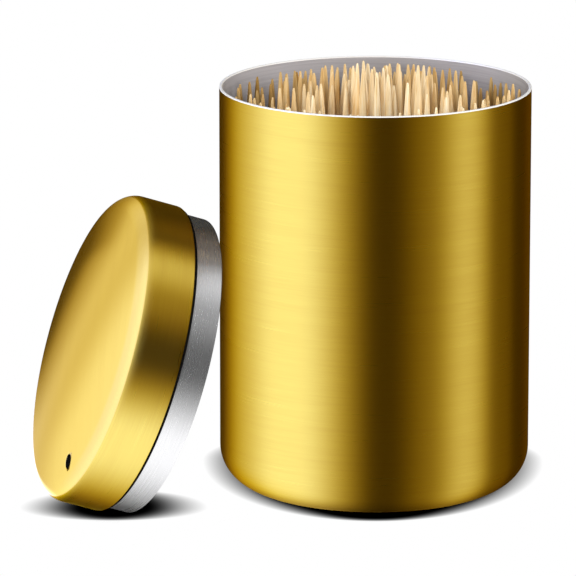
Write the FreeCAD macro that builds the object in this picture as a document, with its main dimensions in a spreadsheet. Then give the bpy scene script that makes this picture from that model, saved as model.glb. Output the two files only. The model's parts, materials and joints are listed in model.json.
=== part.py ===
import FreeCAD, Part
import math
import os
import random
import Sketcher

# Toothpick dispenser: a drawn steel canister with toothpicks standing in it, and its lid,
# which has been taken off and stands on its edge to the left of the canister.
# Millimetres, +Z up. The origin is the centre of the canister's base, on the table, and
# -Y is the side that faces the viewer.

doc = FreeCAD.newDocument("toothpick_dispenser")


# Driving sizes
sheet = doc.addObject("Spreadsheet::Sheet", "Sizes")

LENGTHS_AND_ANGLES = {
    # canister: one drawn cup that stands on a ring, with its base panel pushed up
    "canister_radius": 25.0,
    "canister_height": 65.4,
    "canister_wall": 0.5,
    "canister_edge_radius": 6.3,
    "lip_radius": 0.2,
    "standing_ring_width": 1.2,
    "base_panel_rise": 2.0,
    "base_bend_radius": 0.7,
    # lid cap: the outside radius follows the canister's
    "cap_height": 10.2,
    "cap_wall": 0.5,
    "cap_edge_radius": 3.0,
    "cap_dome_radius": 200.0,
    "cap_lip_radius": 0.2,
    "dispensing_hole_radius": 1.2,
    "dispensing_hole_inset": 4.3,
    # collar: the ring inside the lid that enters the canister's mouth
    "collar_play": 0.4,
    "collar_wall": 0.5,
    "collar_reach": 4.9,
    "collar_skirt_height": 5.2,
    "collar_seat_play": 0.12,
    "collar_lip_radius": 0.2,
    # seal: the dark ring between the cap's rim and the canister's rim
    "seal_thickness": 0.46,
    "seal_inset": 0.25,
    "seal_play": 0.05,
    # where the lid stands
    "lid_stand_off": 16.2,
    "lid_bearing_angle": 22.4,
    "lid_turn_angle": 14.2,
    "lid_lean_angle": 18.2,
    "lid_roll_angle": 217.3,
    # toothpicks
    "pick_length": 63.5,
    "pick_radius": 1.0,
    "pick_tip_radius": 0.2,
    "pick_taper_length": 14.0,
    "pick_spacing": 0.06,
    "loose_pick_play": 0.3,
    "pick_wall_play": 0.3,
    "pick_foot_play": 0.06,
    "crown_height": 3.34,
    "front_lift": 5.0,
    "side_lift": 1.5,
    "pocket_width": 18.0,
    "pocket_depth": 13.0,
    "pocket_offset": 13.5,
}

for row, (alias, value) in enumerate(LENGTHS_AND_ANGLES.items(), start=1):
    sheet.set(f"A{row}", alias.replace("_", " "))
    sheet.set(f"B{row}", str(value))
    sheet.setAlias(f"B{row}", alias)
doc.recompute()


class Size:
    """A number worked out from the sheet, kept with the expression that ties a dimension to it."""

    def __init__(self, value, text):
        self.value = value
        self.text = text

    def __add__(self, other):
        return Size(self.value + other.value, f"({self.text} + {other.text})")

    def __sub__(self, other):
        return Size(self.value - other.value, f"({self.text} - {other.text})")

    def __mul__(self, other):
        return Size(self.value * other.value, f"{self.text} * {other.text}")

    def __truediv__(self, other):
        return Size(self.value / other.value, f"({self.text}) / ({other.text})")

    def __neg__(self):
        return Size(-self.value, f"(0 - {self.text})")

    def root(self):
        return Size(math.sqrt(self.value), f"sqrt({self.text})")


NOTHING = Size(0.0, "0")


def size(alias):
    return Size(float(sheet.get(alias)), f"Sizes.{alias}")


# Profiles and solids of revolution
def origin_plane(body, role):
    for feature in body.Origin.OriginFeatures:
        if feature.Role == role:
            return feature


def new_sketch(body, name, role):
    sketch = body.newObject("Sketcher::SketchObject", name)
    sketch.AttachmentSupport = (origin_plane(body, role), [""])
    sketch.MapMode = "FlatFace"
    return sketch


def tie(sketch, name, kind, places, length):
    """Add one dimension, named, and bind it to the sheet."""
    number = sketch.addConstraint(Sketcher.Constraint(kind, *places, length.value))
    sketch.renameConstraint(number, name)
    sketch.setExpression(f"Constraints.{name}", length.text)


def arc_between(start, end, radius, turn):
    """The short arc from start to end: turn is 1 for a left-hand bend and -1 for a right-hand one."""
    chord = end - start
    middle = (start + end) * 0.5
    rise = math.sqrt(max(radius * radius - chord.Length * chord.Length / 4, 0))
    left = FreeCAD.Vector(-chord.y, chord.x, 0).normalize()
    centre = middle + left * (rise * turn)
    first, last = (start, end) if turn > 0 else (end, start)
    circle = Part.Circle(centre, FreeCAD.Vector(0, 0, 1), radius)
    return Part.ArcOfCircle(circle, circle.parameter(first), circle.parameter(last))


def draw_outline(sketch, corners):
    """Closed outline. A corner is (x, y), or (x, y, radius, turn) where an arc leads to it."""
    points = [FreeCAD.Vector(corner[0].value, corner[1].value, 0) for corner in corners]
    heads = []
    tails = []
    for index, corner in enumerate(corners):
        start = points[index - 1]
        end = points[index]
        if len(corner) == 2:
            heads.append((sketch.addGeometry(Part.LineSegment(start, end), False), 1))
            tails.append((heads[-1][0], 2))
            continue
        radius, turn = corner[2:]
        arc = sketch.addGeometry(arc_between(start, end, radius.value, turn), False)
        heads.append((arc, 1 if turn > 0 else 2))
        tails.append((arc, 2 if turn > 0 else 1))
        tie(sketch, f"radius_{index}", "Radius", (arc,), radius)
    for index, corner in enumerate(corners):
        following = heads[(index + 1) % len(corners)]
        sketch.addConstraint(Sketcher.Constraint("Coincident", *tails[index], *following))
        tie(sketch, f"across_{index}", "DistanceX", (-1, 1, *tails[index]), corner[0])
        tie(sketch, f"up_{index}", "DistanceY", (-1, 1, *tails[index]), corner[1])


def revolved_body(name, corners):
    """A turned or drawn sheet piece: its section in the XZ plane, revolved about Z."""
    body = doc.addObject("PartDesign::Body", name)
    body.Label = name
    sketch = new_sketch(body, f"{name}_section", "XZ_Plane")
    draw_outline(sketch, corners)
    turned = body.newObject("PartDesign::Revolution", f"{name}_turned")
    turned.Profile = sketch
    turned.ReferenceAxis = (sketch, ["V_Axis"])
    turned.Angle = 360.0
    doc.recompute()
    return body


# Canister
canister_radius = size("canister_radius")
canister_height = size("canister_height")
canister_wall = size("canister_wall")
edge_radius = size("canister_edge_radius")
lip = size("lip_radius")
bend_inside = size("base_bend_radius")
bend_outside = bend_inside + canister_wall
panel_rise = size("base_panel_rise")

mouth_radius = canister_radius - canister_wall
ring_outer = canister_radius - edge_radius
ring_inner = ring_outer - size("standing_ring_width")
riser_under = ring_inner - bend_outside
riser_over = riser_under + canister_wall
panel_radius = riser_under - bend_inside


def canister_outline():
    """Section of the cup: underside and outside first, then back down the inside."""
    return [
        (NOTHING, panel_rise),
        (panel_radius, panel_rise),
        (riser_under, panel_rise - bend_inside, bend_inside, -1),
        (riser_under, bend_outside),
        (ring_inner, NOTHING, bend_outside, 1),
        (ring_outer, NOTHING),
        (canister_radius, edge_radius, edge_radius, 1),
        (canister_radius, canister_height - lip),
        (canister_radius - lip, canister_height, lip, 1),
        (mouth_radius + lip, canister_height),
        (mouth_radius, canister_height - lip, lip, 1),
        (mouth_radius, edge_radius),
        (ring_outer, canister_wall, edge_radius - canister_wall, -1),
        (ring_inner, canister_wall),
        (riser_over, bend_outside, bend_inside, -1),
        (riser_over, panel_rise - bend_inside),
        (panel_radius, panel_rise + canister_wall, bend_outside, 1),
        (NOTHING, panel_rise + canister_wall),
    ]


canister = revolved_body("canister", canister_outline())


# Lid: each piece is drawn about its own axis, with the cap's rim at zero and its top above
cap_height = size("cap_height")
cap_wall = size("cap_wall")
cap_edge = size("cap_edge_radius")
cap_dome = size("cap_dome_radius")
cap_lip = size("cap_lip_radius")
cap_inside = canister_radius - cap_wall
edge_centre = canister_radius - cap_edge
dome_centre = cap_height - cap_dome
side_height = dome_centre + ((cap_dome - cap_edge) * (cap_dome - cap_edge) - edge_centre * edge_centre).root()


def on_dome(radius):
    """The point where the crowned top, or its inner face, runs smoothly into the rounded edge."""
    reach = radius / (cap_dome - cap_edge)
    return edge_centre * reach, dome_centre + (side_height - dome_centre) * reach


def cap_outline():
    """Section of the cap: up the outside, over the crowned top, and back inside."""
    outer_edge = on_dome(cap_dome)
    inner_edge = on_dome(cap_dome - cap_wall)
    return [
        (cap_inside, NOTHING),
        (canister_radius - cap_lip, NOTHING),
        (canister_radius, cap_lip, cap_lip, 1),
        (canister_radius, side_height),
        (outer_edge[0], outer_edge[1], cap_edge, 1),
        (NOTHING, cap_height, cap_dome, 1),
        (NOTHING, cap_height - cap_wall),
        (inner_edge[0], inner_edge[1], cap_dome - cap_wall, -1),
        (cap_inside, side_height, cap_edge - cap_wall, -1),
    ]


def cut_dispensing_hole(body):
    """The round hole near the cap's edge through which one toothpick slides out."""
    before = body.Shape.Volume
    sketch = new_sketch(body, "dispensing_hole_section", "XY_Plane")
    offset = canister_radius - size("dispensing_hole_inset")
    centre = FreeCAD.Vector(offset.value, 0, 0)
    circle = Part.Circle(centre, FreeCAD.Vector(0, 0, 1), size("dispensing_hole_radius").value)
    hole = sketch.addGeometry(circle, False)
    tie(sketch, "hole_radius", "Radius", (hole,), size("dispensing_hole_radius"))
    tie(sketch, "hole_across", "DistanceX", (-1, 1, hole, 3), offset)
    tie(sketch, "hole_up", "DistanceY", (-1, 1, hole, 3), NOTHING)
    pocket = body.newObject("PartDesign::Pocket", "dispensing_hole")
    pocket.Profile = sketch
    pocket.Reversed = True
    pocket.setExpression("Length", cap_height.text)
    doc.recompute()
    cut = before - body.Shape.Volume
    expected = math.pi * size("dispensing_hole_radius").value ** 2 * cap_wall.value
    print("dispensing hole cuts", round(cut, 3), "of about", round(expected, 3))
    if cut < expected * 0.9:
        raise RuntimeError("the dispensing hole misses the cap")


lid_cap = revolved_body("lid_cap", cap_outline())
cut_dispensing_hole(lid_cap)

collar_radius = mouth_radius - size("collar_play")
collar_wall = size("collar_wall")
collar_inside = collar_radius - collar_wall
skirt_radius = cap_inside - size("collar_seat_play")
skirt_height = size("collar_skirt_height")
collar_lip = size("collar_lip_radius")
collar_end = -size("collar_reach")


def collar_outline():
    """Section of the collar: a skirt that seats inside the cap, a small shoulder and the neck below."""
    return [
        (collar_inside, collar_end + collar_lip),
        (collar_inside + collar_lip, collar_end, collar_lip, 1),
        (collar_radius - collar_lip, collar_end),
        (collar_radius, collar_end + collar_lip, collar_lip, 1),
        (collar_radius, NOTHING),
        (skirt_radius, collar_wall),
        (skirt_radius, skirt_height),
        (skirt_radius - collar_wall, skirt_height),
        (skirt_radius - collar_wall, collar_wall),
        (collar_inside, NOTHING),
    ]


lid_collar = revolved_body("lid_collar", collar_outline())

seal_inside = collar_radius + size("seal_play")
seal_outside = canister_radius - size("seal_inset")


def seal_outline():
    """Section of the seal: a flat ring around the collar, against the cap's rim."""
    underside = -size("seal_thickness")
    return [
        (seal_inside, underside),
        (seal_outside, underside),
        (seal_outside, NOTHING),
        (seal_inside, NOTHING),
    ]


lid_seal = revolved_body("lid_seal", seal_outline())


def lid_placement():
    """The lid stands on the end of its collar, turned to the viewer and leaning to the canister."""
    lean = math.radians(size("lid_lean_angle").value)
    bearing = math.radians(size("lid_bearing_angle").value)
    distance = canister_radius.value + size("lid_stand_off").value
    round_edge = collar_lip.value
    height = (
        (size("collar_reach").value - round_edge) * math.sin(lean)
        + (collar_radius.value - round_edge) * math.cos(lean)
        + round_edge
    )
    centre = FreeCAD.Vector(-distance * math.cos(bearing), -distance * math.sin(bearing), height)
    upright = FreeCAD.Vector(0, 0, 1)
    turn = FreeCAD.Rotation(upright, size("lid_turn_angle").value)
    lie_over = FreeCAD.Rotation(FreeCAD.Vector(0, 1, 0), size("lid_lean_angle").value - 90)
    roll = FreeCAD.Rotation(upright, size("lid_roll_angle").value)
    return FreeCAD.Placement(centre, turn.multiply(lie_over).multiply(roll))


for piece in (lid_cap, lid_collar, lid_seal):
    piece.Placement = lid_placement()


# Toothpicks
PICK_COUNT = 165
PICK_SIDES = 8
PLACING_TRIES = 40000
PLACING_SEED = 12

pick_length = size("pick_length").value
pick_radius = size("pick_radius").value
pick_tip = size("pick_tip_radius").value
pick_taper = size("pick_taper_length").value
pick_play = size("pick_wall_play").value
foot_play = size("pick_foot_play").value
pick_reach = mouth_radius.value - pick_radius - pick_play

# Spread of a toothpick's lean to either side, as a share of its length
LEAN_SHARE = 0.02
# The tops lie under a crown that falls to the back and to the sides, as shares of the reach
FALL_TO_BACK_SHARE = 0.21
FALL_TO_SIDE_SHARE = 0.16
# Shares of the toothpicks that their neighbours hold up: in the middle of the front, and elsewhere
HELD_UP_FRONT_SHARE = 0.7
HELD_UP_SHARE = 0.25
# Where the loose toothpick stands, as shares of the reach
LOOSE_PLACE_SHARES = (-0.18, 0.12)


def floor_height(radius):
    """Height of the cup's inner floor at a distance from its axis."""
    inner_corner = edge_radius.value - canister_wall.value
    if radius <= panel_radius.value:
        return panel_rise.value + canister_wall.value
    if radius <= ring_outer.value:
        return canister_wall.value
    drop = inner_corner ** 2 - (radius - ring_outer.value) ** 2
    return edge_radius.value - math.sqrt(max(drop, 0))


def foot_fits(radius):
    """A foot stands on the base panel or in the channel round it, not across the riser between."""
    on_panel = radius <= panel_radius.value - pick_tip
    in_channel = radius >= riser_over.value + pick_radius * 0.6
    return (on_panel or in_channel) and radius <= pick_reach


def in_front_pocket(point):
    """The space at the front that used toothpicks have left."""
    across = point.x / (size("pocket_width").value / 2)
    along = (point.y + size("pocket_offset").value) / (size("pocket_depth").value / 2)
    return across ** 2 + along ** 2 < 1


def head_room(top):
    """How much higher a top could stand and still be under the crown of the bundle."""
    crown = floor_height(0) + foot_play + pick_length + size("crown_height").value
    fall_back = FALL_TO_BACK_SHARE * top.y
    fall_aside = FALL_TO_SIDE_SHARE * top.x ** 2 / pick_reach
    return crown - fall_back - fall_aside - top.z


def axis_distance(first, second):
    """Least distance between two toothpicks' axes, each a (foot, top) pair."""
    along = first[1] - first[0]
    other = second[1] - second[0]
    between = first[0] - second[0]
    a = along.dot(along)
    b = along.dot(other)
    c = other.dot(other)
    d = along.dot(between)
    e = other.dot(between)
    spread = a * c - b * b
    s = min(max((b * e - c * d) / spread, 0), 1) if spread > 0 else 0
    t = min(max((b * s + e) / c, 0), 1)
    s = min(max((b * t - d) / a, 0), 1)
    return (between + along * s - other * t).Length


def clear_of(placed, foot, top):
    """Whether a toothpick clears all those placed, each kept as its axis and the play round it."""
    return all(axis_distance((foot, top), axis) >= 2 * pick_radius + play for axis, play in placed)


def candidate(dice):
    """One toothpick at random: its foot on the floor or held up a little, and its leaning top."""
    bearing = dice.uniform(0, 2 * math.pi)
    radius = pick_reach * math.sqrt(dice.random())
    lean_x = dice.gauss(0, LEAN_SHARE) * pick_length
    lean_y = dice.gauss(0, LEAN_SHARE) * pick_length
    held_up = dice.random()
    lift_share = dice.random()
    if not foot_fits(radius):
        return None
    foot = FreeCAD.Vector(radius * math.cos(bearing), radius * math.sin(bearing), 0)
    foot.z = floor_height(radius + pick_tip) + foot_play
    rise = math.sqrt(pick_length ** 2 - lean_x ** 2 - lean_y ** 2)
    top = foot + FreeCAD.Vector(lean_x, lean_y, rise)
    mouth_room = min(pick_reach, collar_inside.value - pick_tip - pick_play)
    if math.hypot(top.x, top.y) > mouth_room or in_front_pocket(foot) or in_front_pocket(top):
        return None
    room = head_room(top)
    if room < 0:
        return None
    half_pocket = size("pocket_width").value / 2
    at_front = abs(foot.x) < half_pocket and -half_pocket < foot.y < half_pocket / 2
    on_panel = radius < panel_radius.value
    if on_panel and held_up < (HELD_UP_FRONT_SHARE if at_front else HELD_UP_SHARE):
        most = size("front_lift").value if at_front else size("side_lift").value
        lift = FreeCAD.Vector(0, 0, min(room, most) * lift_share ** 0.5)
        return foot + lift, top + lift
    return foot, top


def place_toothpicks():
    """Stand toothpicks at random, one after another, wherever each clears those already there.

    The first is the loose one: it stands upright, and the others keep clear of its way out.
    """
    dice = random.Random(PLACING_SEED)
    foot = FreeCAD.Vector(*LOOSE_PLACE_SHARES, 0) * pick_reach
    foot.z = floor_height(foot.Length) + foot_play
    top = foot + FreeCAD.Vector(0, 0, pick_length)
    way_out = top + FreeCAD.Vector(0, 0, pick_length)
    placed = [((foot, way_out), size("loose_pick_play").value)]
    for attempt in range(PLACING_TRIES):
        trial = candidate(dice)
        if trial and clear_of(placed, *trial):
            placed.append((trial, size("pick_spacing").value))
        if len(placed) == PICK_COUNT:
            break
    print("toothpicks standing:", len(placed))
    return [(foot, top)] + [axis for axis, play in placed[1:]]


def toothpick(sides):
    """A double-pointed toothpick along +Z from its foot, with the given number of sides."""
    stations = (
        (0, pick_tip),
        (pick_taper, pick_radius),
        (pick_length - pick_taper, pick_radius),
        (pick_length, pick_tip),
    )
    rings = []
    for height, radius in stations:
        ring = []
        for index in range(sides):
            angle = 2 * math.pi * index / sides
            ring.append(FreeCAD.Vector(radius * math.cos(angle), radius * math.sin(angle), height))
        rings.append(ring)
    outlines = [rings[0], rings[-1]]
    for lower, upper in zip(rings, rings[1:]):
        for index in range(sides):
            outlines.append([lower[index - 1], lower[index], upper[index], upper[index - 1]])
    faces = [Part.Face(Part.makePolygon(outline + outline[:1])) for outline in outlines]
    return Part.makeSolid(Part.makeShell(faces))


def standing(shape, foot, top):
    """A copy of a toothpick drawn along +Z, stood on its foot and leaning to its top."""
    copy = shape.copy()
    copy.Placement = FreeCAD.Placement(foot, FreeCAD.Rotation(FreeCAD.Vector(0, 0, 1), top - foot))
    return copy


def quarter(foot):
    """Name of the group that a toothpick stands in."""
    if math.hypot(foot.x, foot.y) < panel_radius.value * 0.6:
        return "toothpicks_centre"
    if abs(foot.x) > abs(foot.y):
        return "toothpicks_right" if foot.x > 0 else "toothpicks_left"
    return "toothpicks_back" if foot.y > 0 else "toothpicks_front"


toothpick_axes = place_toothpicks()


def pick_outline():
    """Half section of one turned toothpick."""
    tip = size("pick_tip_radius")
    full = size("pick_radius")
    taper = size("pick_taper_length")
    length = size("pick_length")
    return [
        (NOTHING, NOTHING),
        (tip, NOTHING),
        (full, taper),
        (full, length - taper),
        (tip, length),
        (NOTHING, length),
    ]


loose_pick = revolved_body("loose_toothpick", pick_outline())
loose_pick.Placement = FreeCAD.Placement(toothpick_axes[0][0], FreeCAD.Rotation())

groups = {}
faceted = toothpick(PICK_SIDES)
for foot, top in toothpick_axes[1:]:
    groups.setdefault(quarter(foot), []).append(standing(faceted, foot, top))

bundles = []
for name in sorted(groups):
    bundle = doc.addObject("Part::Feature", name)
    bundle.Label = name
    bundle.Shape = Part.makeCompound(groups[name])
    bundles.append(bundle)
    print(name, len(groups[name]))

doc.recompute()


# Check and write each piece
pieces = [canister, lid_cap, lid_collar, lid_seal, loose_pick, *bundles]
for member in doc.Objects:
    for word in ("Invalid", "Error"):
        if word in member.State:
            raise RuntimeError(f"{member.Name} is {word}")
for piece in pieces:
    if piece.Shape.isNull() or not piece.Shape.isValid():
        raise RuntimeError(f"{piece.Label} has no valid shape")

os.makedirs("parts", exist_ok=True)
for piece in pieces:
    piece.Shape.exportStep(f"parts/{piece.Label}.step")
    box = piece.Shape.optimalBoundingBox()
    print(
        piece.Label,
        "solids", len(piece.Shape.Solids),
        "volume", round(piece.Shape.Volume, 1),
        "x", round(box.XMin, 2), round(box.XMax, 2),
        "y", round(box.YMin, 2), round(box.YMax, 2),
        "z", round(box.ZMin, 2), round(box.ZMax, 2),
    )
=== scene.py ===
import json
import math
import random

import bmesh
import bpy
from mathutils import Matrix, Vector


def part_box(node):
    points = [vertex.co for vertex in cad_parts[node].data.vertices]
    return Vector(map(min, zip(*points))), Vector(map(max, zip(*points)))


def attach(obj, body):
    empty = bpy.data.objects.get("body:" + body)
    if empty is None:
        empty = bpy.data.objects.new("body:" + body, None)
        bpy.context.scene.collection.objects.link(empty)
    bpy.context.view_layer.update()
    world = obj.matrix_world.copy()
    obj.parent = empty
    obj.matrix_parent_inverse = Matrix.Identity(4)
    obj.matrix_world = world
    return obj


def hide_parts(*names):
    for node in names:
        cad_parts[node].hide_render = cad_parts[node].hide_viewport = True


# Toothpick dispenser: a gold-toned steel canister full of toothpicks, and its lid on edge beside it.
# The camera looks along +Y from the front, as in the photograph. Lengths are metres.

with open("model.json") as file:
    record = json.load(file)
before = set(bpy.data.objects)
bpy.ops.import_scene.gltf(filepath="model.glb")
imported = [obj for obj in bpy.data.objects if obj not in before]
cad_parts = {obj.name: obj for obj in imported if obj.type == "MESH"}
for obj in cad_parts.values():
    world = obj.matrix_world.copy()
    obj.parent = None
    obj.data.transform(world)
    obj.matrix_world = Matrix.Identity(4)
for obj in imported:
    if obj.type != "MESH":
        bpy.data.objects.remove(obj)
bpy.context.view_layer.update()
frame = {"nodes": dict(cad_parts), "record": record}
nodes = frame["nodes"]
mounts = {mount["name"]: mount for mount in frame["record"]["mounts"]}
MM = 0.001

# Sizes of the sheet pieces, as in the solids
CANISTER_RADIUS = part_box("canister")[1].x
CANISTER_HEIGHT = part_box("canister")[1].z
CANISTER_WALL = 0.5 * MM
CANISTER_EDGE = 6.3 * MM
LIP = 0.2 * MM
RING_WIDTH = 1.2 * MM
PANEL_RISE = 2.0 * MM
BEND = 0.7 * MM
CAP_HEIGHT = 10.2 * MM
CAP_WALL = 0.5 * MM
CAP_EDGE = 3.0 * MM
CAP_DOME = 200 * MM
HOLE_RADIUS = mounts["dispensing_hole"]["dims"]["r_mm"] * MM
HOLE_OFFSET = 20.7 * MM
COLLAR_PLAY = 0.4 * MM
COLLAR_WALL = 0.5 * MM
COLLAR_REACH = 4.9 * MM
SKIRT_HEIGHT = 5.2 * MM
SKIRT_PLAY = 0.12 * MM
SEAL_THICKNESS = 0.46 * MM
SEAL_INSET = 0.25 * MM
SEAL_PLAY = 0.05 * MM
SEAL_ROUNDING_SHARE = 0.3

# Fineness of the meshes, and what counts as no distance at all
TURN_STEPS = 256
ARC_STEPS = 10
CROWN_STEPS = 24
HOLE_STEPS = 48
SEAL_STEPS = 4
TINY = 0.001 * MM


# Meshes
def new_piece(name, points, faces, materials, smooth=True):
    """One mesh object. A face is its corners and, as last item, the number of its material."""
    mesh = bpy.data.meshes.new(name)
    mesh.from_pydata(points, [], [face[:-1] for face in faces])
    for polygon, face in zip(mesh.polygons, faces):
        polygon.material_index = face[-1]
        polygon.use_smooth = smooth
    for material in materials:
        mesh.materials.append(material)
    mesh.update()
    piece = bpy.data.objects.new(name, mesh)
    bpy.context.scene.collection.objects.link(piece)
    return piece


def arc(centre, radius, start, end, steps=ARC_STEPS):
    """Points of an arc in a section, from one angle to another, in degrees."""
    points = []
    for step in range(steps + 1):
        angle = math.radians(start + (end - start) * step / steps)
        points.append((centre[0] + radius * math.cos(angle), centre[1] + radius * math.sin(angle)))
    return points


def turned_piece(name, section, materials, closed=True):
    """A section turned about Z. It is a list of (points, material number) stretches, end to end."""
    outline = []
    for points, material in section:
        for point in points:
            if outline and math.dist(outline[-1][0], point) < TINY:
                outline[-1] = (outline[-1][0], material)
                continue
            outline.append((point, material))
    points = []
    rows = []
    for (radius, height), material in outline:
        if radius < TINY:
            rows.append([len(points)] * TURN_STEPS)
            points.append((0, 0, height))
            continue
        row = []
        for step in range(TURN_STEPS):
            angle = 2 * math.pi * step / TURN_STEPS
            row.append(len(points))
            points.append((radius * math.cos(angle), radius * math.sin(angle), height))
        rows.append(row)
    faces = []
    pairs = list(zip(range(len(rows)), range(1, len(rows))))
    if closed:
        pairs.append((len(rows) - 1, 0))
    for low, high in pairs:
        for step in range(TURN_STEPS):
            after = (step + 1) % TURN_STEPS
            corners = []
            for index in (rows[low][step], rows[low][after], rows[high][after], rows[high][step]):
                if index not in corners:
                    corners.append(index)
            if len(corners) > 2:
                faces.append((*corners, outline[low][1]))
    return new_piece(name, points, faces, materials)


# Materials
def new_material(name):
    material = bpy.data.materials.new(name)
    material.use_nodes = True
    return material, material.node_tree, material.node_tree.nodes["Principled BSDF"]


def node(tree, kind, **settings):
    made = tree.nodes.new(kind)
    for key, value in settings.items():
        setattr(made, key, value)
    return made


def math_node(tree, operation, first, second=None):
    made = node(tree, "ShaderNodeMath", operation=operation)
    for socket, value in zip(made.inputs, (first, second)):
        if value is None:
            continue
        if isinstance(value, (int, float)):
            socket.default_value = value
        else:
            tree.links.new(value, socket)
    return made.outputs[0]


def ramp(tree, factor, stops, interpolation="LINEAR"):
    made = node(tree, "ShaderNodeValToRGB")
    made.color_ramp.interpolation = interpolation
    elements = made.color_ramp.elements
    while len(elements) < len(stops):
        elements.new(1.0)
    for element, (position, colour) in zip(elements, stops):
        element.position = position
        element.color = (*colour, 1.0)
    tree.links.new(factor, made.inputs[0])
    return made.outputs[0]


def scaled_noise(tree, stretch, place_name="own_place", detail=3.0, roughness=0.6):
    """Noise over a coordinate that the mesh carries, with so many features per unit along each axis."""
    place = node(tree, "ShaderNodeAttribute", attribute_name=place_name)
    scaling = node(tree, "ShaderNodeMapping")
    scaling.inputs["Scale"].default_value = stretch
    noise = node(tree, "ShaderNodeTexNoise")
    noise.inputs["Scale"].default_value = 1.0
    noise.inputs["Detail"].default_value = detail
    noise.inputs["Roughness"].default_value = roughness
    tree.links.new(place.outputs["Vector"], scaling.inputs["Vector"])
    tree.links.new(scaling.outputs[0], noise.inputs["Vector"])
    return noise.outputs[0]


def add_bump(tree, surface, height, strength, distance):
    bump = node(tree, "ShaderNodeBump")
    bump.inputs["Strength"].default_value = strength
    bump.inputs["Distance"].default_value = distance
    tree.links.new(height, bump.inputs["Height"])
    tree.links.new(bump.outputs[0], surface.inputs["Normal"])


def grey(value):
    return (value, value, value)


# Features per millimetre of the fine and the broad streaks, round the piece or straight along its own X
STREAKS = {
    "round": ((0.09, 0.09, 5.2), (0.03, 0.03, 0.9)),
    "straight": ((0.06, 4.0, 4.0), (0.01, 0.22, 0.22)),
}
# How much the fine streaks count, where along the noise both ends of the colour lie, and the relief
FINE_SHARE = 0.6
STREAK_LOW = 0.35
STREAK_HIGH = 0.65
GLOSS_CHANGE = 0.1
BRUSH_BUMP = 0.2
BRUSH_DEPTH = 0.01 * MM


def brushed_steel(name, colour, grazing, roughness, anisotropy, brushing="round", streak=0.05, metal=1.0):
    """Brushed sheet steel: fine streaks run along the brushing, and light spreads across it."""
    material, tree, surface = new_material(name)
    fine, broad = STREAKS[brushing]
    fine = math_node(tree, "MULTIPLY", scaled_noise(tree, fine), FINE_SHARE)
    broad = math_node(tree, "MULTIPLY", scaled_noise(tree, broad), 1 - FINE_SHARE)
    mixed = math_node(tree, "ADD", fine, broad)
    low = tuple(channel * (1 - streak) for channel in colour)
    high = tuple(min(channel * (1 + streak), 1.0) for channel in colour)
    tint = ramp(tree, mixed, [(STREAK_LOW, low), (STREAK_HIGH, high)])
    tree.links.new(tint, surface.inputs["Base Color"])
    rough = grey(roughness * (1 + GLOSS_CHANGE))
    sleek = grey(roughness * (1 - GLOSS_CHANGE))
    gloss = ramp(tree, mixed, [(STREAK_LOW, rough), (STREAK_HIGH, sleek)])
    tree.links.new(gloss, surface.inputs["Roughness"])
    surface.inputs["Metallic"].default_value = metal
    surface.inputs["Anisotropic"].default_value = anisotropy
    surface.inputs["Specular Tint"].default_value = (*grazing, 1.0)
    tangent = node(tree, "ShaderNodeTangent", direction_type="UV_MAP", uv_map=brushing)
    tree.links.new(tangent.outputs[0], surface.inputs["Tangent"])
    add_bump(tree, surface, mixed, BRUSH_BUMP, BRUSH_DEPTH)
    return material


# Colours of the metals, straight on and at a grazing angle
GOLD = (1.0, 0.60, 0.08)
GOLD_GRAZING = (0.90, 0.60, 0.15)
GOLD_TOP = (1.0, 0.60, 0.115)
TOP_GRAZING = (1.0, 0.80, 0.42)
SILVER = (0.93, 0.93, 0.93)
INSIDE = (0.362, 0.343, 0.352)
# The lip's bare steel, painted near white as its highlight.
LIP_WHITE_AND_HIGHLIGHT = (0.86, 0.84, 0.82)

gold = brushed_steel("gold_brushed", GOLD, GOLD_GRAZING, roughness=0.30, anisotropy=0.85)
gold_top = brushed_steel(
    "gold_top", GOLD_TOP, TOP_GRAZING, roughness=0.12, anisotropy=0.3, brushing="straight", streak=0.03,
)
steel = brushed_steel(
    "steel_brushed", SILVER, SILVER, roughness=0.28, anisotropy=0.8, streak=0.02, metal=0.93,
)
steel_inside = brushed_steel(
    "steel_inside", INSIDE, INSIDE, roughness=0.5, anisotropy=0.6, streak=0.13, metal=0.08,
)
# Bare steel of the lip, partly painted highlight: near white and barely metallic.
lip_steel_and_highlight = brushed_steel(
    "lip_steel_and_highlight", LIP_WHITE_AND_HIGHLIGHT, LIP_WHITE_AND_HIGHLIGHT, roughness=0.45, anisotropy=0.0, streak=0.02, metal=0.2,
)

OPENNESS_SAMPLES = 16


def openness(tree, reach):
    """How open the space in front of a spot is, from 0 to 1."""
    near = node(tree, "ShaderNodeAmbientOcclusion")
    near.inputs["Distance"].default_value = reach
    near.samples = OPENNESS_SAMPLES
    return near.outputs["AO"]


def multiplied(tree, first, second):
    """Two colours multiplied."""
    made = node(tree, "ShaderNodeMix", data_type="RGBA", blend_type="MULTIPLY")
    made.inputs["Factor"].default_value = 1.0
    tree.links.new(first, made.inputs["A"])
    tree.links.new(second, made.inputs["B"])
    return made.outputs["Result"]


# Greys of the lid's lining by noise, kept dark as painted shade, the painted shade left of them by how open
# the spot is, and greys of the black for the seal and the hole's painted shadow
LINING_REACH = 12 * MM
LINING_STREAKS_AND_SHADE = ((0.3, grey(0.10)), (0.7, grey(0.16)))
LINING_PAINTED_SHADE = ((0.35, grey(0.0)), (0.9, grey(1.0)))
BLACK_GREYS = ((0.3, grey(0.002)), (0.7, grey(0.006)))
BLACK_STRETCH = (0.9, 0.9, 0.9)
MATT_ROUGHNESS = 0.6


def make_matt(tree, surface, tint):
    tree.links.new(tint, surface.inputs["Base Color"])
    surface.inputs["Roughness"].default_value = MATT_ROUGHNESS
    surface.inputs["Specular IOR Level"].default_value = 0.0


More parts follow.
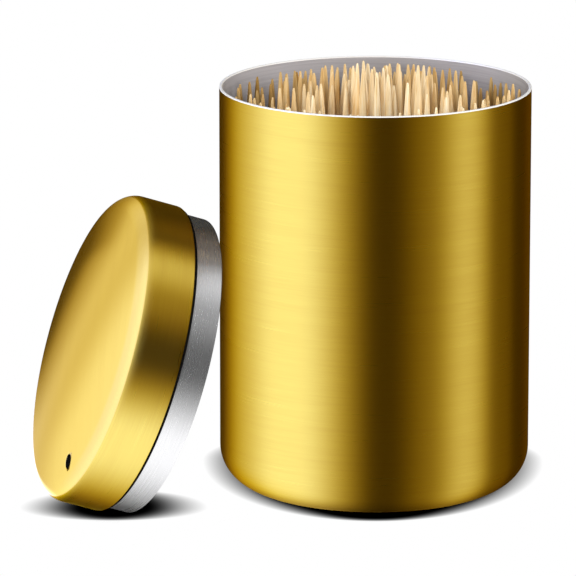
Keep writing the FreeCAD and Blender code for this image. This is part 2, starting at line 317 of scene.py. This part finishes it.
def lid_lining():
    """Bare steel inside the lid, painted dark as shade, and darker still as painted shade in the corners
    where the closed end keeps the light out.
    """
    material, tree, surface = new_material("lid_lining")
    fine = STREAKS["round"][0]
    # The greys are the steel's streaks, painted dark as the shade of the closed lid.
    streaks = ramp(tree, scaled_noise(tree, fine), LINING_STREAKS_AND_SHADE)
    # Painted shade: darker where the spot is closed in.
    painted_corner_shade = ramp(tree, openness(tree, LINING_REACH), LINING_PAINTED_SHADE)
    make_matt(tree, surface, multiplied(tree, streaks, painted_corner_shade))
    return material


def matt_black(name):
    """Black without gloss, for the seal's rubber and the painted shadow in the hole's bore."""
    material, tree, surface = new_material(name)
    make_matt(tree, surface, ramp(tree, scaled_noise(tree, BLACK_STRETCH), BLACK_GREYS))
    return material


# Wood: the grain from late to early wood, what each toothpick's tone and painted shade make of it, and the
# painted warm shade in the gaps
GRAIN_COLOURS = ((0.3, (0.76, 0.52, 0.24)), (0.5, (0.93, 0.77, 0.50)), (0.72, (1.0, 0.92, 0.73)))
TONE_AND_SHADE_COLOURS = ((0.0, (0.34, 0.24, 0.10)), (0.5, (0.74, 0.60, 0.40)), (1.0, (1.0, 1.0, 1.0)))
GAP_PAINTED_SHADE = (
    (0.08, (0.50, 0.18, 0.01)),
    (0.34, (1.0, 0.62, 0.20)),
    (0.58, (1.0, 0.91, 0.68)),
    (0.80, (1.0, 1.0, 1.0)),
)
GAP_REACH = 2.2 * MM
# Features of the grain per millimetre across a toothpick and per metre along it
GRAIN_STRETCH = (3.2, 3.2, 90.0)
GRAIN_DETAIL = 4.0
GRAIN_ROUGHNESS = 0.5
WOOD_ROUGHNESS = 0.62
WOOD_SPECULAR = 0.3
WOOD_BUMP = 0.4
WOOD_DEPTH = 0.05 * MM


def birch_wood():
    """Pale turned birch, with painted warm shade in the gaps. Each toothpick carries its own tone with
    painted shade toward the back, and a coordinate along its grain.
    """
    material, tree, surface = new_material("birch")
    tone_and_shade = node(tree, "ShaderNodeAttribute", attribute_name="tone_and_shade")
    noise = scaled_noise(tree, GRAIN_STRETCH, "grain", GRAIN_DETAIL, GRAIN_ROUGHNESS)
    grain = ramp(tree, noise, GRAIN_COLOURS)
    shade = ramp(tree, tone_and_shade.outputs["Fac"], TONE_AND_SHADE_COLOURS)
    # Painted shade: warm dark where neighbouring toothpicks close a spot in.
    painted_gap_shade = ramp(tree, openness(tree, GAP_REACH), GAP_PAINTED_SHADE)
    wood = multiplied(tree, multiplied(tree, grain, shade), painted_gap_shade)
    tree.links.new(wood, surface.inputs["Base Color"])
    surface.inputs["Roughness"].default_value = WOOD_ROUGHNESS
    surface.inputs["Specular IOR Level"].default_value = WOOD_SPECULAR
    add_bump(tree, surface, noise, WOOD_BUMP, WOOD_DEPTH)
    return material


lid_inside = lid_lining()
seal_rubber = matt_black("seal_rubber")
# The hole's bore is painted black as the shadow inside it.
hole_painted_shadow = matt_black("hole_painted_shadow")
birch = birch_wood()


# Sheet pieces
MAP_SIZE = 200 * MM


def place_and_map(piece, matrix):
    """Keeps each point's own place and the two brushing maps, then moves the mesh to its place.

    In each map the first axis runs across the brushing, because that is where the light spreads.
    """
    mesh = piece.data
    own = [point.co.copy() for point in mesh.vertices]
    place_layer = mesh.attributes.new("own_place", "FLOAT_VECTOR", "POINT")
    place_layer.data.foreach_set("vector", [value / MM for point in own for value in point])
    round_map = mesh.uv_layers.new(name="round")
    straight_map = mesh.uv_layers.new(name="straight")
    for polygon in mesh.polygons:
        middle = polygon.center
        turn = math.atan2(middle.y, middle.x)
        for corner in polygon.loop_indices:
            point = own[mesh.loops[corner].vertex_index]
            radius = math.hypot(point.x, point.y)
            angle = math.atan2(point.y, point.x) - turn if radius > TINY else 0.0
            angle = turn + (angle + math.pi) % (2 * math.pi) - math.pi
            round_map.data[corner].uv = ((point.z - radius) / MAP_SIZE, angle * CANISTER_RADIUS / MAP_SIZE)
            straight_map.data[corner].uv = (point.y / MAP_SIZE, -point.x / MAP_SIZE)
    mesh.transform(matrix)
    mesh.update()


def canister_section():
    """Up the outside, over the bare lip and down the inside, with the panel pushed up underneath."""
    ring_outer = CANISTER_RADIUS - CANISTER_EDGE
    ring_inner = ring_outer - RING_WIDTH
    riser_under = ring_inner - BEND - CANISTER_WALL
    panel = riser_under - BEND
    inside = CANISTER_RADIUS - CANISTER_WALL
    top = CANISTER_HEIGHT - LIP
    outer_bend = BEND + CANISTER_WALL
    outside = [(0, PANEL_RISE)]
    outside += arc((panel, PANEL_RISE - BEND), BEND, 90, 0)
    outside += arc((ring_inner, outer_bend), outer_bend, 180, 270)
    outside += arc((ring_outer, CANISTER_EDGE), CANISTER_EDGE, -90, 0, 2 * ARC_STEPS)
    outside += [(CANISTER_RADIUS, top - 2 * LIP), (CANISTER_RADIUS, top)]
    lip = arc((CANISTER_RADIUS - LIP, top), LIP, 0, 90)
    lip += arc((inside + LIP, top), LIP, 90, 180)
    lining = [(inside, top), (inside, top - 2 * LIP), (inside, CANISTER_EDGE)]
    lining += arc((ring_outer, CANISTER_EDGE), CANISTER_EDGE - CANISTER_WALL, 0, -90)
    lining += arc((ring_inner, outer_bend), BEND, 270, 180)
    lining += arc((panel, PANEL_RISE - BEND), outer_bend, 0, 90)
    lining += [(0, PANEL_RISE + CANISTER_WALL)]
    return [(outside, 0), (lip, 2), (lining, 1)]


canister = turned_piece("canister_shell", canister_section(), [gold, steel_inside, lip_steel_and_highlight], closed=False)
place_and_map(canister, Matrix())
canister.visible_glossy = False
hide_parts("canister")
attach(canister, "canister_body")


# Lid
lid_axis = Vector(mounts["dispensing_hole"]["axis"]).normalized()
hole_centre = Vector(mounts["dispensing_hole"]["pos_m"])


def lid_frame():
    """The lid's frame, from the hole's axis and place and the seal's box."""
    low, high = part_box("lid_seal")
    centre = (low + high) / 2 + lid_axis * (SEAL_THICKNESS / 2)
    toward_hole = hole_centre - centre
    toward_hole -= lid_axis * toward_hole.dot(lid_axis)
    x_axis = toward_hole.normalized()
    y_axis = lid_axis.cross(x_axis)
    turned = Matrix((x_axis, y_axis, lid_axis)).transposed().to_4x4()
    return Matrix.Translation(centre) @ turned


# How far up the cap's rounded edge the brushing of its top begins, in degrees
TOP_START = 33


def cap_section():
    """The cap: up the outside, over the crowned top and back inside."""
    edge_centre = CANISTER_RADIUS - CAP_EDGE
    dome_centre = CAP_HEIGHT - CAP_DOME
    side = dome_centre + math.sqrt((CAP_DOME - CAP_EDGE) ** 2 - edge_centre ** 2)
    tip = math.degrees(math.acos(edge_centre / (CAP_DOME - CAP_EDGE)))
    inside = CANISTER_RADIUS - CAP_WALL
    rim = [(inside, 0)]
    rim += arc((CANISTER_RADIUS - LIP, LIP), LIP, -90, 0)
    wall = [(CANISTER_RADIUS, LIP), (CANISTER_RADIUS, 3 * LIP), (CANISTER_RADIUS, side)]
    wall += arc((edge_centre, side), CAP_EDGE, 0, TOP_START)
    top = arc((edge_centre, side), CAP_EDGE, TOP_START, tip)
    top += arc((0, dome_centre), CAP_DOME, tip, 90, CROWN_STEPS)
    lining = arc((0, dome_centre), CAP_DOME - CAP_WALL, 90, tip, CROWN_STEPS)
    lining += arc((edge_centre, side), CAP_EDGE - CAP_WALL, tip, 0)
    lining += [(inside, 0)]
    return [(rim + wall, 0), (top, 2), (lining, 1)]


def collar_section():
    """The collar: a skirt inside the cap, a small shoulder and the neck below."""
    radius = CANISTER_RADIUS - CANISTER_WALL - COLLAR_PLAY
    inside = radius - COLLAR_WALL
    skirt = CANISTER_RADIUS - CAP_WALL - SKIRT_PLAY
    end = LIP - COLLAR_REACH
    neck = arc((radius - LIP, end), LIP, -90, 0)
    neck += [(radius, end + 2 * LIP), (radius, 0), (skirt, COLLAR_WALL), (skirt, SKIRT_HEIGHT)]
    lining = [(skirt - COLLAR_WALL, SKIRT_HEIGHT), (skirt - COLLAR_WALL, COLLAR_WALL), (inside, 0)]
    lining += [(inside, end + 2 * LIP)]
    lining += arc((inside + LIP, end), LIP, 180, 270)
    return [(neck, 0), (lining, 1)]


def seal_section():
    """A flat ring with a rounded outer edge."""
    inside = CANISTER_RADIUS - CANISTER_WALL - COLLAR_PLAY + SEAL_PLAY
    outside = CANISTER_RADIUS - SEAL_INSET
    round_edge = SEAL_THICKNESS * SEAL_ROUNDING_SHARE
    ring = arc((outside - round_edge, -SEAL_THICKNESS + round_edge), round_edge, -90, 0, SEAL_STEPS)
    ring += arc((outside - round_edge, -round_edge), round_edge, 0, 90, SEAL_STEPS)
    ring += [(inside, 0), (inside, -SEAL_THICKNESS)]
    return [(ring, 0)]


lid_place = lid_frame()
cap = turned_piece("lid_cap_shell", cap_section(), [gold, lid_inside, gold_top, hole_painted_shadow])
collar = turned_piece("lid_collar_ring", collar_section(), [steel, lid_inside])
seal = turned_piece("lid_seal_ring", seal_section(), [seal_rubber])


def cut_hole(piece):
    """The dispensing hole, cut through the cap's top."""
    points = []
    faces = []
    for height in (0, 2 * CAP_HEIGHT):
        for step in range(HOLE_STEPS):
            angle = 2 * math.pi * step / HOLE_STEPS
            across = HOLE_OFFSET + HOLE_RADIUS * math.cos(angle)
            points.append((across, HOLE_RADIUS * math.sin(angle), height))
    for step in range(HOLE_STEPS):
        after = (step + 1) % HOLE_STEPS
        faces.append((step, after, after + HOLE_STEPS, step + HOLE_STEPS, 3))
    faces.append((*range(HOLE_STEPS - 1, -1, -1), 3))
    faces.append((*range(HOLE_STEPS, 2 * HOLE_STEPS), 3))
    # The cut faces take material 3, the painted shadow of the hole.
    cutter = new_piece("hole_cutter", points, faces, list(piece.data.materials), smooth=False)
    cut = piece.modifiers.new("hole", "BOOLEAN")
    cut.object = cutter
    cut.operation = "DIFFERENCE"
    cut.solver = "EXACT"
    bpy.context.view_layer.objects.active = piece
    with bpy.context.temp_override(object=piece, active_object=piece, selected_objects=[piece]):
        bpy.ops.object.modifier_apply(modifier=cut.name)
    bpy.data.objects.remove(cutter)


cut_hole(cap)
for piece, replaced, slot in ((cap, "lid_cap", "gold_steel"), (collar, "lid_collar", "bare_steel"),
                              (seal, "lid_seal", "black_seal")):
    place_and_map(piece, lid_place)
    piece.visible_glossy = False
    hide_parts(replaced)
    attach(piece, "lid")


# Toothpicks
PICK_RADIUS = 1.0 * MM
PICK_TAPER = 14.0 * MM
PICK_SIDES = 16
# Radius of a toothpick along its pointed end, as shares of the taper and of the full radius
TAPER_SHARES = (
    (0, 0.10),
    (0.012, 0.17),
    (0.06, 0.27),
    (0.15, 0.38),
    (0.3, 0.52),
    (0.5, 0.68),
    (0.75, 0.86),
    (0.92, 0.97),
    (1.0, 1.0),
)
# Points of the solids this near are one point, and this near an end they belong to its face
SAME_POINT = 0.0005 * MM
END_REACH = 1.0 * MM
# How uneven a toothpick may be turned, how flat it may be, and how far apart the grains are taken
LEAST_WIDTH_SHARE = 0.93
MOST_FLAT_SHARE = 0.06
GRAIN_SPREAD = 50
# Tone of the palest wood, the painted shade toward the back at the sides and everywhere, and the spread of
# the random tone
PALEST = 1.05
SIDE_PAINTED_SHADE = 1.35
BACK_PAINTED_SHADE = 0.42
UNEVEN_TONE = 0.12


def solids_of(node_name):
    """The separate solids of a node, each as its list of points."""
    mesh = nodes[node_name].data
    spots = {}
    index_of = []
    for vertex in mesh.vertices:
        key = tuple(round(value / SAME_POINT) for value in vertex.co)
        index_of.append(spots.setdefault(key, len(spots)))
    places = [None] * len(spots)
    for vertex, index in zip(mesh.vertices, index_of):
        places[index] = vertex.co.copy()
    leader = list(range(len(spots)))

    def head(index):
        while leader[index] != index:
            leader[index] = leader[leader[index]]
            index = leader[index]
        return index

    for polygon in mesh.polygons:
        corners = [index_of[corner] for corner in polygon.vertices]
        for corner in corners[1:]:
            leader[head(corner)] = head(corners[0])
    groups = {}
    for index in range(len(spots)):
        groups.setdefault(head(index), []).append(places[index])
    return sorted(groups.values(), key=lambda group: tuple(group[0]))


def pick_axis(points):
    """Foot and top of a toothpick: the middles of its two small end faces."""
    low = min(points, key=lambda point: point.z)
    high = max(points, key=lambda point: point.z)
    along = (high - low).normalized()
    feet = [point for point in points if (point - low).dot(along) < END_REACH]
    tops = [point for point in points if (high - point).dot(along) < END_REACH]
    return sum(feet, Vector()) / len(feet), sum(tops, Vector()) / len(tops)


def pick_stations(length):
    """(height, radius) along a toothpick, foot to top."""
    low = [(PICK_TAPER * share, PICK_RADIUS * width) for share, width in TAPER_SHARES]
    high = [(length - height, radius) for height, radius in reversed(low)]
    return low + high


def toothpicks(name, axes, dice):
    """Round pointed toothpicks, each a little uneven, with its own tone, painted shade by its place, and
    grain.
    """
    points = []
    faces = []
    tones_and_shades = []
    grains = []
    for foot, top in axes:
        along = (top - foot).normalized()
        side = along.orthogonal().normalized()
        front = along.cross(side)
        length = (top - foot).length
        offset = dice.uniform(0, GRAIN_SPREAD)
        tone_and_shade = tone_and_shade_of(top, dice)
        start = len(points)
        stations = pick_stations(length)
        uneven = [dice.uniform(LEAST_WIDTH_SHARE, 1.0) for each in stations]
        turn = dice.uniform(0, 2 * math.pi)
        flat = dice.uniform(0.0, MOST_FLAT_SHARE)
        for (height, radius), share in zip(stations, uneven):
            for step in range(PICK_SIDES):
                angle = 2 * math.pi * step / PICK_SIDES + turn
                reach = radius * share * (1 - flat * math.cos(2 * angle) ** 2)
                spot = foot + along * height + (side * math.cos(angle) + front * math.sin(angle)) * reach
                points.append(spot)
                tones_and_shades.append(tone_and_shade)
                across = radius / MM
                grains.append((math.cos(angle) * across + offset, math.sin(angle) * across, height))
        for row in range(len(stations) - 1):
            for step in range(PICK_SIDES):
                after = (step + 1) % PICK_SIDES
                low = start + row * PICK_SIDES
                high = low + PICK_SIDES
                faces.append((low + step, low + after, high + after, high + step, 0))
        faces.append((*range(start + PICK_SIDES - 1, start - 1, -1), 0))
        last = start + (len(stations) - 1) * PICK_SIDES
        faces.append((*range(last, last + PICK_SIDES), 0))
    piece = new_piece(name, points, faces, [birch])
    tone_and_shade_layer = piece.data.attributes.new("tone_and_shade", "FLOAT", "POINT")
    tone_and_shade_layer.data.foreach_set("value", tones_and_shades)
    grain_layer = piece.data.attributes.new("grain", "FLOAT_VECTOR", "POINT")
    grain_layer.data.foreach_set("vector", [value for grain in grains for value in grain])
    return piece


def tone_and_shade_of(top, dice):
    """Pale wood in front, and painted shade that makes it browner toward the back, most at both sides of
    it.
    """
    far_back = (top.y + CANISTER_RADIUS) / (2 * CANISTER_RADIUS)
    aside = abs(top.x) / CANISTER_RADIUS
    # Painted shade toward the back and sides; the random tone added below is the wood's own.
    tone_and_shade = PALEST - (SIDE_PAINTED_SHADE * aside + BACK_PAINTED_SHADE) * far_back
    tone_and_shade += dice.uniform(-UNEVEN_TONE, UNEVEN_TONE)
    return min(max(tone_and_shade, 0.0), 1.0)


for node_name in ("toothpicks_back", "toothpicks_centre", "toothpicks_front", "toothpicks_left",
                  "toothpicks_right", "loose_toothpick"):
    dice = random.Random(node_name)
    axes = [pick_axis(points) for points in solids_of(node_name)]
    piece = toothpicks(f"wooden_{node_name}", axes, dice)
    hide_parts(node_name)
    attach(piece, "single_toothpick" if node_name == "loose_toothpick" else "canister_body")


# Studio
def smooth(tree, value, low, high):
    """0 at the low value and 1 at the high one, with a soft step between."""
    made = node(tree, "ShaderNodeMapRange", interpolation_type="SMOOTHSTEP")
    made.inputs["From Min"].default_value = low
    made.inputs["From Max"].default_value = high
    tree.links.new(value, made.inputs["Value"])
    return made.outputs[0]


def vector_node(tree, operation, first, second=None):
    made = node(tree, "ShaderNodeVectorMath", operation=operation)
    tree.links.new(first, made.inputs[0])
    if second is not None:
        made.inputs[1].default_value = second
    return made.outputs["Value" if operation in ("DOT_PRODUCT", "LENGTH") else "Vector"]


def facing(tree, sight):
    """Which way brushed metal faces where it mirrors this part of the studio to the front."""
    place = node(tree, "ShaderNodeTexCoord").outputs["Object"]
    outward = vector_node(tree, "NORMALIZE", place)
    return vector_node(tree, "NORMALIZE", vector_node(tree, "SUBTRACT", outward, sight))


def turn_about(tree, way, across, ahead):
    """Angle of a direction, in degrees, from the axis ahead toward the axis across."""
    turn = math_node(tree, "ARCTAN2", vector_node(tree, "DOT_PRODUCT", way, across),
                     vector_node(tree, "DOT_PRODUCT", way, ahead))
    return math_node(tree, "MULTIPLY", turn, math.degrees(1))


def soft_boxes(tree, place, level, boxes):
    """Soft-edged lights side by side in the dark of the studio, added up."""
    total = level
    for dark_start, full_start, full_end, dark_end, strength in boxes:
        rise = smooth(tree, place, dark_start, full_start)
        fall = smooth(tree, place, dark_end, full_end)
        box = math_node(tree, "MULTIPLY", math_node(tree, "MULTIPLY", rise, fall), strength)
        total = math_node(tree, "ADD", total, box)
    return total


def blended(tree, share, first, second):
    """From the first value to the second by a share."""
    made = node(tree, "ShaderNodeMix", data_type="FLOAT")
    for name, value in (("Factor", share), ("A", first), ("B", second)):
        tree.links.new(value, made.inputs[name])
    return made.outputs["Result"]


def canister_lights(tree):
    """Upright soft boxes round the canister, dimmed where its bottom edge turns under."""
    way = facing(tree, CANISTER_SIGHT)
    total = soft_boxes(tree, turn_about(tree, way, (1, 0, 0), (0, -1, 0)), CANISTER_DARK, CANISTER_BOXES)
    upward = vector_node(tree, "DOT_PRODUCT", way, (0, 0, 1))
    lit = math_node(tree, "MULTIPLY", smooth(tree, upward, *UNDERSIDE_FADE), 1 - UNDERSIDE)
    return math_node(tree, "MULTIPLY", total, math_node(tree, "ADD", lit, UNDERSIDE))


def lid_side_lights(tree, level):
    way = facing(tree, LID_SIGHT)
    return soft_boxes(tree, turn_about(tree, way, LID_UPWARD, LID_LEVEL), level, LID_BOXES)


def collar_lights(tree):
    return lid_side_lights(tree, COLLAR_DARK)


def cap_lights(tree):
    """The side's lights, and beyond the rounded edge those of the crowned top."""
    side = lid_side_lights(tree, LID_DARK)
    way = facing(tree, LID_SIGHT)
    outward = vector_node(tree, "DOT_PRODUCT", way, lid_axis)
    outward_squared = math_node(tree, "POWER", outward, 2.0)
    aside = math_node(tree, "SQRT", math_node(tree, "SUBTRACT", 1.0, outward_squared))
    divisor = math_node(tree, "MAXIMUM", outward, math_node(tree, "MULTIPLY", aside, TOP_LIMIT))
    top = TOP_DARK
    for slant, boxes in TOP_LIGHTS:
        across = (LID_LEVEL * math.cos(slant) - LID_UPWARD * math.sin(slant)) * TOP_SCALE
        place = math_node(tree, "DIVIDE", vector_node(tree, "DOT_PRODUCT", way, across), divisor)
        top = soft_boxes(tree, place, top, boxes)
    top = math_node(tree, "MAXIMUM", top, TOP_LEAST)
    round_the_edge = soft_boxes(tree, turn_about(tree, way, LID_UPWARD, LID_LEVEL), 0.0, EDGE_STRETCH)
    edge = math_node(tree, "MULTIPLY", soft_boxes(tree, outward, 0.0, EDGE_BOXES), round_the_edge)
    outline = soft_boxes(tree, vector_node(tree, "DOT_PRODUCT", way, OUTLINE_WAY), 0.0, OUTLINE_BOXES)
    top = math_node(tree, "ADD", top, math_node(tree, "ADD", edge, outline))
    return blended(tree, smooth(tree, outward, *TOP_BLEND), side, top)


LID_LEVEL = Vector((0, 0, 1)).cross(lid_axis).normalized()
LID_UPWARD = lid_axis.cross(LID_LEVEL)
# Lines of sight from the front to the canister and to the lid
CANISTER_SIGHT = (0, 0.973, -0.232)
LID_SIGHT = (-0.028, 0.969, -0.244)
# Each box: where the dark ends, where full light starts and ends, where the dark begins, and its strength.
# Those of the canister and the lid's side are angles round the piece in degrees, and those of the lid's
# top are millimetres across its crown.
CANISTER_DARK = 0.048
CANISTER_BOXES = (
    (-79, -54, -31, 1, 0.62),
    (-58, -38, -31, 1, 0.42),
    (5, 24, 34, 53, 0.20),
    (20, 35, 37, 53, 0.42),
    (47, 52, 57, 64, 0.08),
    (69, 80, 88, 90, 0.05),
)
LID_DARK = 0.04
LID_BOXES = (
    (-70, -26, -19, 10.5, 1.03),
    (16, 34, 52, 62, 0.25),
    (33, 46, 48, 57, 0.35),
    (60, 65, 66, 76, 0.05),
)
COLLAR_DARK = 0.03
TOP_DARK = -0.15
TOP_LEAST = 0.04
# The top's boxes lie along three slants: one box that leaves the upper edge dark, two beside the dark at
# the left, and two whose seam shows as a dip. FAR is beyond the crown, so those boxes have no other end.
FAR = 100
TOP_LIGHTS = (
    (math.radians(70.0), ((-22.9, -20.2, FAR, FAR + 1, 0.22),)),
    (math.radians(11.5), ((-20.4, -9.4, FAR, FAR + 1, 0.43), (-12, -1.0, FAR, FAR + 1, 0.22))),
    (math.radians(16.5), ((-10, -2, -1.5, 3.5, 0.07), (2.5, 16.5, FAR, FAR + 1, 0.31))),
)
# Millimetres across the crown by its slope, and what holds that place within the crown's edge
TOP_SCALE = 190.7
TOP_LIMIT = 8.5
# Lights that only the rounded edge shows: how far it faces outward, and where round the lid in degrees
EDGE_BOXES = (
    (0.45, 0.58, 0.64, 0.90, 0.13),
)
EDGE_STRETCH = (
    (-88, -66, 40, 62, 1.0),
)
# Low on the far side the edge, where it turns away, catches a thin line of light
OUTLINE_SLANT = math.radians(30)
OUTLINE_WAY = -LID_LEVEL * math.cos(OUTLINE_SLANT) - LID_UPWARD * math.sin(OUTLINE_SLANT)
OUTLINE_BOXES = (
    (0.15, 0.24, 0.6, 0.7, 0.8),
)
# How far outward the lid's edge faces where the top's lights take over from the side's
TOP_BLEND = (0.48, 0.60)
# What is left of the canister's lights on its rounded bottom edge, and how far upward that faces
UNDERSIDE = 0.15
UNDERSIDE_FADE = (-0.87, -0.5)
# Colour of the gold's and the steel's surroundings by strength: amber in the dark, cool in the full light
COLOUR_SCALE = 3.0
GOLD_LIGHT = (
    (0.0, (1.0, 0.74, 0.08)),
    (0.10, (1.0, 0.76, 0.07)),
    (0.37, (1.0, 0.97, 0.41)),
    (0.62, (1.0, 1.12, 1.2)),
    (1.0, (1.0, 1.30, 2.6)),
)
STEEL_LIGHT = (
    (0.0, (0.9, 0.9, 0.9)),
    (1.0, (1.0, 1.0, 1.02)),
)


DOME_STEPS = 48
DOME_RADIUS = 10.0
DOME_SPACING = 1.0


def dome(name, radius, receiver, pattern, colours):
    """A far shell of light that only the given piece mirrors, and nothing else sees."""
    material, tree, surface = new_material(name)
    tree.nodes.remove(surface)
    total = pattern(tree)
    stops = [(place, tuple(channel / COLOUR_SCALE for channel in colour)) for place, colour in colours]
    glow = node(tree, "ShaderNodeEmission")
    tree.links.new(ramp(tree, total, stops), glow.inputs["Color"])
    tree.links.new(math_node(tree, "MULTIPLY", total, COLOUR_SCALE), glow.inputs["Strength"])
    clear = node(tree, "ShaderNodeBsdfTransparent")
    both = node(tree, "ShaderNodeAddShader")
    tree.links.new(glow.outputs[0], both.inputs[0])
    tree.links.new(clear.outputs[0], both.inputs[1])
    tree.links.new(both.outputs[0], tree.nodes["Material Output"].inputs["Surface"])
    material.cycles.emission_sampling = "NONE"
    mesh = bpy.data.meshes.new(name)
    shell_form = bmesh.new()
    bmesh.ops.create_uvsphere(shell_form, u_segments=DOME_STEPS, v_segments=DOME_STEPS // 2, radius=radius)
    shell_form.to_mesh(mesh)
    shell_form.free()
    mesh.materials.append(material)
    shell = bpy.data.objects.new(name, mesh)
    bpy.context.scene.collection.objects.link(shell)
    group = bpy.data.collections.new(name + "_receivers")
    group.objects.link(receiver)
    shell.light_linking.receiver_collection = group
    for ray in ("camera", "diffuse", "transmission", "volume_scatter", "shadow"):
        setattr(shell, "visible_" + ray, False)


WORLD_STRENGTH = 0.27


def world_light():
    """White where the camera looks, an even light on the wood and the table, and dark for the metal."""
    world = bpy.data.worlds.new("studio")
    bpy.context.scene.world = world
    world.use_nodes = True
    world.cycles.sampling_method = "NONE"
    tree = world.node_tree
    plain = tree.nodes["Background"]
    plain.inputs["Color"].default_value = (1, 1, 1, 1)
    rays = node(tree, "ShaderNodeLightPath")
    seen = math_node(tree, "MULTIPLY", rays.outputs["Is Camera Ray"], 1.0 - WORLD_STRENGTH)
    plain_strength = math_node(tree, "ADD", seen, WORLD_STRENGTH)
    dark = math_node(tree, "MULTIPLY", rays.outputs["Is Glossy Ray"], WORLD_STRENGTH)
    tree.links.new(math_node(tree, "SUBTRACT", plain_strength, dark), plain.inputs["Strength"])


# Each shadow: its middle, half width, reach to front and back, softness in front and aside, and curve
CANISTER_SHADOW = ((0, 12.6 * MM), 28.0 * MM, 37.5 * MM, 19.8 * MM, 0.061, 0.61, 3.9)
LID_SHADOW = ((-41.8 * MM, -16.8 * MM), 15.0 * MM, 7.7 * MM, 10.7 * MM, 0.5, 2.76, 5.8)


def soft_shadow(tree, middle, half_width, front, back, front_soft, side_soft, curve):
    """Brightness of the table in a soft shadow, which is sharper in front and softer to the sides."""
    place = node(tree, "ShaderNodeTexCoord").outputs["Object"]
    split = node(tree, "ShaderNodeSeparateXYZ")
    tree.links.new(vector_node(tree, "SUBTRACT", place, (*middle, 0)), split.inputs[0])
    aside = math_node(tree, "POWER", math_node(tree, "DIVIDE", split.outputs["X"], half_width), 2.0)
    ahead = math_node(tree, "DIVIDE", math_node(tree, "MINIMUM", split.outputs["Y"], 0.0), front)
    behind = math_node(tree, "DIVIDE", math_node(tree, "MAXIMUM", split.outputs["Y"], 0.0), back)
    along = math_node(tree, "POWER", math_node(tree, "ADD", ahead, behind), 2.0)
    inside = math_node(tree, "SUBTRACT", 1.0, math_node(tree, "SQRT", math_node(tree, "ADD", aside, along)))
    softness = math_node(tree, "ADD", math_node(tree, "MULTIPLY", aside, side_soft), front_soft)
    deep = math_node(tree, "MAXIMUM", math_node(tree, "DIVIDE", inside, softness), 0.0)
    light = math_node(tree, "MAXIMUM", math_node(tree, "SUBTRACT", 1.0, deep), 0.0)
    return math_node(tree, "POWER", light, curve)


FLOOR_SIZE = 6.0
TABLE_GREY = 0.86
TABLE_ROUGHNESS = 0.9
# Brightness of the table by how open the space above it is
CONTACT_REACH = 6 * MM
CONTACT_SHADES = ((0.0, grey(0.0)), (0.12, grey(1.0)))


def floor():
    """White where the camera looks, darker under and beside what stands on it."""
    half = FLOOR_SIZE / 2
    points = [(-half, -half, 0), (half, -half, 0), (half, half, 0), (-half, half, 0)]
    material, tree, surface = new_material("table_white")
    surface.inputs["Base Color"].default_value = (*grey(TABLE_GREY), 1)
    surface.inputs["Roughness"].default_value = TABLE_ROUGHNESS
    surface.inputs["Specular IOR Level"].default_value = 0.0
    rays = node(tree, "ShaderNodeLightPath")
    glow = node(tree, "ShaderNodeEmission")
    contact = ramp(tree, openness(tree, CONTACT_REACH), CONTACT_SHADES)
    by_lid = soft_shadow(tree, *LID_SHADOW)
    by_canister = soft_shadow(tree, *CANISTER_SHADOW)
    soft = math_node(tree, "MULTIPLY", by_lid, by_canister)
    tree.links.new(math_node(tree, "MULTIPLY", contact, soft), glow.inputs["Color"])
    seen = math_node(tree, "MAXIMUM", rays.outputs["Is Camera Ray"], rays.outputs["Is Transmission Ray"])
    either = node(tree, "ShaderNodeMixShader")
    tree.links.new(seen, either.inputs[0])
    tree.links.new(surface.outputs[0], either.inputs[1])
    tree.links.new(glow.outputs[0], either.inputs[2])
    tree.links.new(either.outputs[0], tree.nodes["Material Output"].inputs["Surface"])
    material.cycles.emission_sampling = "NONE"
    table = new_piece("table", points, [(0, 1, 2, 3, 0)], [material], smooth=False)
    table.visible_glossy = False


# Each lamp's name, place and power
SOFTBOXES = (
    ("front_softbox", (-0.25, -1.0, 0.34), 9.0),
    ("right_softbox", (1.0, -0.15, 0.40), 9.6),
    ("left_softbox", (-1.0, -0.15, 0.40), 5.4),
    ("overhead_softbox", (0.1, 0.1, 1.2), 1.0),
)
SOFTBOX_SIZE = 0.5


def softbox(name, place, power):
    """A lamp for what isn't metal, aimed at the mouth of the canister."""
    light = bpy.data.lights.new(name, "AREA")
    light.shape = "DISK"
    light.size = SOFTBOX_SIZE
    light.energy = power
    lamp = bpy.data.objects.new(name, light)
    bpy.context.scene.collection.objects.link(lamp)
    lamp.location = place
    aim = Vector((0, 0, CANISTER_HEIGHT)) - Vector(place)
    lamp.rotation_euler = aim.to_track_quat("-Z", "Y").to_euler()
    lamp.visible_glossy = False


# The camera, as fitted to the outlines in the photograph
IMAGE_PIXELS = 576
FOCAL_PIXELS = 5414.3
CAMERA_ASIDE = -13.979 * MM
CAMERA_DISTANCE = 850 * MM
CAMERA_HEIGHT = 234.463 * MM
CAMERA_PITCH = 13.3943
SENSOR_WIDTH = 36.0


def camera():
    """The front view of the photograph."""
    data = bpy.data.cameras.new("camera")
    data.sensor_width = SENSOR_WIDTH
    data.lens = data.sensor_width * FOCAL_PIXELS / IMAGE_PIXELS
    eye = bpy.data.objects.new("camera", data)
    bpy.context.scene.collection.objects.link(eye)
    eye.location = (CAMERA_ASIDE, -CAMERA_DISTANCE, CAMERA_HEIGHT)
    eye.rotation_euler = (math.pi / 2 - math.radians(CAMERA_PITCH), 0, 0)
    bpy.context.scene.camera = eye


world_light()
floor()
# Each dome has a radius of its own, because shells in one place would hide each other
dome("canister_studio", DOME_RADIUS, canister, canister_lights, GOLD_LIGHT)
dome("cap_studio", DOME_RADIUS + DOME_SPACING, cap, cap_lights, GOLD_LIGHT)
dome("collar_studio", DOME_RADIUS + 2 * DOME_SPACING, collar, collar_lights, STEEL_LIGHT)
for lamp_name, lamp_place, lamp_power in SOFTBOXES:
    softbox(lamp_name, lamp_place, lamp_power)
camera()
bpy.context.scene.view_settings.view_transform = "Standard"

bpy.context.view_layer.update()
